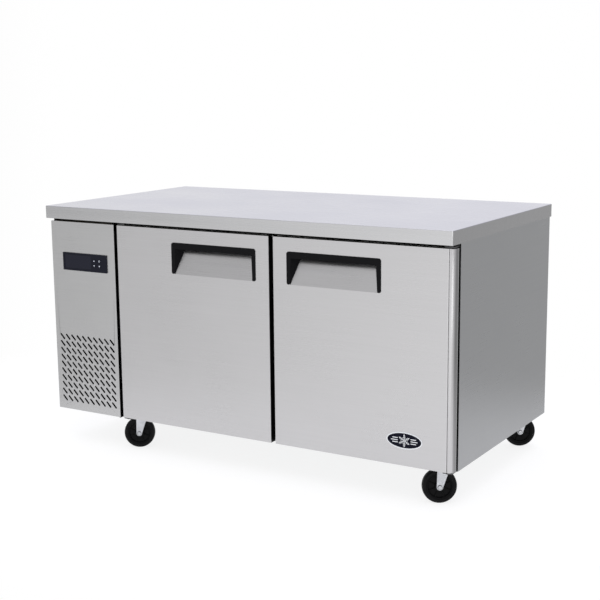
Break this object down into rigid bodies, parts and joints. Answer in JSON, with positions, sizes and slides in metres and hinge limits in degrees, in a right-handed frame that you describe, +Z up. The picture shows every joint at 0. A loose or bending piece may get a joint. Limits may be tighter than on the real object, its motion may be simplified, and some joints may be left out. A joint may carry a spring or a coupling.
{
  "type": "undercounter refrigerator",
  "caption": "Low stainless refrigerator under a flat worktop: hinged doors with recessed handles beside a vented control panel, on swivel casters.",
  "frame": {"origin": "on the floor, under the middle of the worktop", "axes": "+Z up; the doors face -Y; +X is to the right of someone standing in front of the doors"},
  "size_m": [1.44, 0.76, 0.79],
  "materials": {
    "top_steel": "brushed along its length",
    "side_steel": "brushed",
    "front_steel": "brushed",
    "door_steel": "brushed",
    "liner_steel": "satin",
    "rear_sheet": "galvanised, matt",
    "galvanised_steel": "galvanised",
    "core_board": "raw board",
    "foam": "polyurethane foam",
    "black_frame": "matt",
    "black_trim": "matt",
    "black_nylon": "matt",
    "black_plastic": "matt",
    "display_black": "glossy",
    "display_lens": "glossy, dark",
    "key_black": "satin, light legend",
    "handle_black": "satin",
    "compressor_black": "black enamel",
    "coil_aluminium": "bare",
    "shroud_plastic": "matt",
    "fan_blade": "matt",
    "white_plastic": "satin",
    "motor_grey": "painted",
    "copper": "copper tube, dull",
    "clip_steel": "bright",
    "shelf_coating": "white epoxy",
    "hinge_steel": "zinc plated",
    "screw_steel": "bright",
    "zinc_steel": "zinc plated",
    "wheel_black": "hard rubber",
    "badge_plate": "glossy plate with a silver rim",
    "gasket_rubber": "flexible",
    "liner_plastic": "vacuum formed",
    "bush_nylon": "nylon"
  },
  "bodies": {
    "cabinet": {"worktop": "top_steel", "worktop_core": "core_board", "left_side_panel": "side_steel", "right_side_panel": "side_steel", "rear_panel": "rear_sheet", "rear_grille": "rear_sheet", "cable_gland": "black_nylon", "base_plate": "galvanised_steel", "cabinet_insulation": "foam", "inner_liner": "liner_steel", "front_frame": "black_frame", "control_panel": "front_steel", "display_bezel": "display_black", "display_window": "display_lens", "controller_box": "black_plastic", "compressor": "compressor_black", "condenser_coil": "coil_aluminium", "condenser_fan_shroud": "shroud_plastic", "evaporator_coil": "coil_aluminium", "evaporator_cover": "white_plastic", "evaporator_fan_motor": "motor_grey", "refrigerant_lines": "copper", "condensate_pan": "shroud_plastic", "shelf_pilasters": "liner_steel", "shelf_clips": "clip_steel", "wire_shelves": "shelf_coating", "hinge_brackets": "hinge_steel", "hinge_pins": "hinge_steel", "panel_screws": "screw_steel", "caster_plates": "zinc_steel", "caster_kingpins": "zinc_steel"},
    "left_door": {"left_door_skin": "door_steel", "left_door_core": "foam", "left_door_liner": "liner_plastic", "left_door_gasket": "gasket_rubber", "left_door_trim": "black_trim", "left_handle": "handle_black", "left_hinge_bushes": "bush_nylon"},
    "right_door": {"badge": "badge_plate", "right_door_skin": "door_steel", "right_door_core": "foam", "right_door_liner": "liner_plastic", "right_door_gasket": "gasket_rubber", "right_door_trim": "black_trim", "right_handle": "handle_black", "right_hinge_bushes": "bush_nylon"},
    "condenser_fan": {"condenser_fan": "fan_blade"},
    "evaporator_fan": {"evaporator_fan": "fan_blade"},
    "button_up": {"button_up": "key_black"},
    "button_power": {"button_power": "key_black"},
    "button_down": {"button_down": "key_black"},
    "button_set": {"button_set": "key_black"},
    "front_left_caster_swivel": {"front_left_caster_fork": "zinc_steel"},
    "front_left_caster_wheel": {"front_left_caster_wheel": "wheel_black"},
    "front_right_caster_swivel": {"front_right_caster_fork": "zinc_steel"},
    "front_right_caster_wheel": {"front_right_caster_wheel": "wheel_black"},
    "rear_left_caster_swivel": {"rear_left_caster_fork": "zinc_steel"},
    "rear_left_caster_wheel": {"rear_left_caster_wheel": "wheel_black"},
    "rear_right_caster_swivel": {"rear_right_caster_fork": "zinc_steel"},
    "rear_right_caster_wheel": {"rear_right_caster_wheel": "wheel_black"}
  },
  "joints": [
    {"name": "left_door_hinge", "type": "hinge", "parent": "cabinet", "child": "left_door", "pos_m": [-0.429, -0.346, 0.423], "axis": [0, 0, -1], "range_deg": [0, 105], "stiffness_Nm_per_rad": 0.8, "springref_deg": -5.73},
    {"name": "right_door_hinge", "type": "hinge", "parent": "cabinet", "child": "right_door", "pos_m": [0.7, -0.346, 0.423], "axis": [0, 0, 1], "range_deg": [0, 105], "stiffness_Nm_per_rad": 0.8, "springref_deg": -5.73},
    {"name": "front_left_caster_swivel", "type": "hinge", "parent": "cabinet", "child": "front_left_caster_swivel", "pos_m": [-0.411, -0.289, 0.11], "axis": [0, 0, 1], "continuous": true},
    {"name": "front_left_caster_wheel_spin", "type": "hinge", "parent": "front_left_caster_swivel", "child": "front_left_caster_wheel", "pos_m": [-0.42643, -0.29827, 0.05], "axis": [-0.515, 0.8572, 0], "continuous": true},
    {"name": "front_right_caster_swivel", "type": "hinge", "parent": "cabinet", "child": "front_right_caster_swivel", "pos_m": [0.666, -0.289, 0.11], "axis": [0, 0, 1], "continuous": true},
    {"name": "front_right_caster_wheel_spin", "type": "hinge", "parent": "front_right_caster_swivel", "child": "front_right_caster_wheel", "pos_m": [0.65057, -0.29827, 0.05], "axis": [-0.515, 0.8572, 0], "continuous": true},
    {"name": "rear_left_caster_swivel", "type": "hinge", "parent": "cabinet", "child": "rear_left_caster_swivel", "pos_m": [-0.411, 0.332, 0.11], "axis": [0, 0, 1], "continuous": true},
    {"name": "rear_left_caster_wheel_spin", "type": "hinge", "parent": "rear_left_caster_swivel", "child": "rear_left_caster_wheel", "pos_m": [-0.42643, 0.32273, 0.05], "axis": [-0.515, 0.8572, 0], "continuous": true},
    {"name": "rear_right_caster_swivel", "type": "hinge", "parent": "cabinet", "child": "rear_right_caster_swivel", "pos_m": [0.666, 0.332, 0.11], "axis": [0, 0, 1], "continuous": true},
    {"name": "rear_right_caster_wheel_spin", "type": "hinge", "parent": "rear_right_caster_swivel", "child": "rear_right_caster_wheel", "pos_m": [0.65057, 0.32273, 0.05], "axis": [-0.515, 0.8572, 0], "continuous": true},
    {"name": "condenser_fan_spin", "type": "hinge", "parent": "cabinet", "child": "condenser_fan", "pos_m": [-0.59, -0.258, 0.25], "axis": [0, 1, 0], "continuous": true},
    {"name": "evaporator_fan_spin", "type": "hinge", "parent": "cabinet", "child": "evaporator_fan", "pos_m": [-0.14, 0.243, 0.601], "axis": [0, 1, 0], "continuous": true},
    {"name": "button_up_press", "type": "slide", "parent": "cabinet", "child": "button_up", "axis": [0, 1, 0], "range_m": [0, 0.001], "stiffness_N_per_m": 400, "springref_m": -0.0004},
    {"name": "button_power_press", "type": "slide", "parent": "cabinet", "child": "button_power", "axis": [0, 1, 0], "range_m": [0, 0.001], "stiffness_N_per_m": 400, "springref_m": -0.0004},
    {"name": "button_down_press", "type": "slide", "parent": "cabinet", "child": "button_down", "axis": [0, 1, 0], "range_m": [0, 0.001], "stiffness_N_per_m": 400, "springref_m": -0.0004},
    {"name": "button_set_press", "type": "slide", "parent": "cabinet", "child": "button_set", "axis": [0, 1, 0], "range_m": [0, 0.001], "stiffness_N_per_m": 400, "springref_m": -0.0004}
  ]
}
